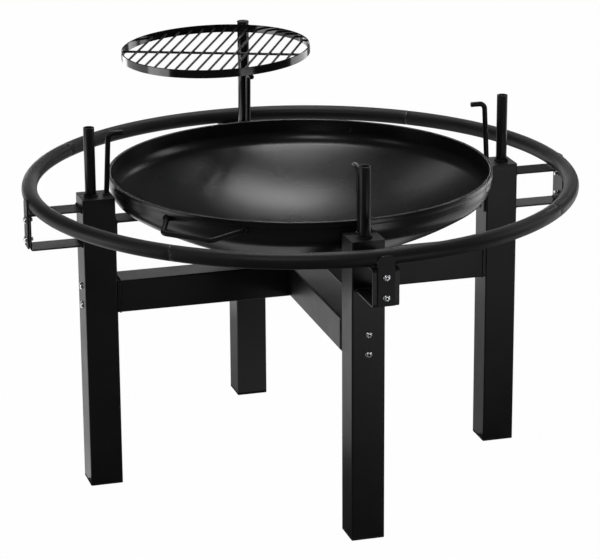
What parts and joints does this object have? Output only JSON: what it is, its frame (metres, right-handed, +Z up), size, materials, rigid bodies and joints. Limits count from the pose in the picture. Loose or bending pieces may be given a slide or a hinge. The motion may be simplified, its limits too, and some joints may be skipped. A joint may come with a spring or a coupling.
{
  "type": "fire pit with grate",
  "caption": "Garden fire pit: a dished bowl on a frame of square tube legs, a round rail on brackets, hook rods, and a round wire grate that swings on a pole.",
  "frame": {"origin": "on the floor under the centre of the bowl", "axes": "+Z up; the four legs stand on the +X (right), +Y (back), -X (left) and -Y (front) sides, and the grate's pole is on the back leg"},
  "size_m": [1.0928, 1.0928, 0.803],
  "materials": {
    "frame_coat": "satin black powder coat on steel tube",
    "rail_coat": "satin black powder coat, slightly worn to grey",
    "bowl_coat": "satin black heat resistant paint",
    "grate_coat": "gloss black paint",
    "grate_wire": "dark steel wire",
    "zinc_screws": "bright zinc plating",
    "plain_steel": "plain steel, oiled",
    "foot_plastic": "moulded black plastic",
    "pole_plug": "moulded black plastic"
  },
  "bodies": {
    "stand": {"beam_end_plate_back": "frame_coat", "beam_end_plate_front": "frame_coat", "beam_end_plate_left": "frame_coat", "beam_end_plate_right": "frame_coat", "bowl_seat_back": "frame_coat", "bowl_seat_front": "frame_coat", "bowl_seat_left": "frame_coat", "bowl_seat_right": "frame_coat", "cross_beam": "frame_coat", "cross_beam_half_back": "frame_coat", "cross_beam_half_front": "frame_coat", "foot_cap_back": "foot_plastic", "foot_cap_front": "foot_plastic", "foot_cap_left": "foot_plastic", "foot_cap_right": "foot_plastic", "frame_bolts": "zinc_screws", "frame_nuts": "plain_steel", "hook_rod_back": "frame_coat", "hook_rod_front": "frame_coat", "hook_rod_left": "frame_coat", "hook_rod_right": "frame_coat", "leg_back": "frame_coat", "leg_front": "frame_coat", "leg_left": "frame_coat", "leg_right": "frame_coat", "leg_top_plate_back": "frame_coat", "leg_top_plate_front": "frame_coat", "leg_top_plate_left": "frame_coat", "leg_top_plate_right": "frame_coat", "rail_bolts": "zinc_screws", "rail_bracket_back": "frame_coat", "rail_bracket_front": "frame_coat", "rail_bracket_left": "frame_coat", "rail_bracket_right": "frame_coat", "rail_holder_plate_back": "rail_coat", "rail_holder_plate_front": "rail_coat", "rail_holder_plate_left": "rail_coat", "rail_holder_plate_right": "rail_coat", "rail_segment_back": "rail_coat", "rail_segment_front": "rail_coat", "rail_segment_left": "rail_coat", "rail_segment_right": "rail_coat", "rail_spigots": "plain_steel", "seat_bolts": "zinc_screws", "seat_inserts": "plain_steel", "stub_back": "frame_coat", "stub_front": "frame_coat", "stub_left": "frame_coat", "stub_right": "frame_coat"},
    "bowl": {"bowl": "bowl_coat", "bowl_handle_right": "bowl_coat", "bowl_handle_left": "bowl_coat"},
    "grate": {"grate_pole": "grate_coat", "grate_pole_cap": "pole_plug", "grate_hoop": "grate_coat", "grate_cross_bar": "grate_wire", "grate_wires": "grate_wire"}
  },
  "joints": [
    {"name": "bowl_lift", "type": "slide", "parent": "stand", "child": "bowl", "axis": [0, 0, 1], "range_m": [0, 0.08]},
    {"name": "grate_swing", "type": "hinge", "parent": "stand", "child": "grate", "pos_m": [0, 0.415, 0.69], "axis": [0, 0, 1], "continuous": true}
  ]
}
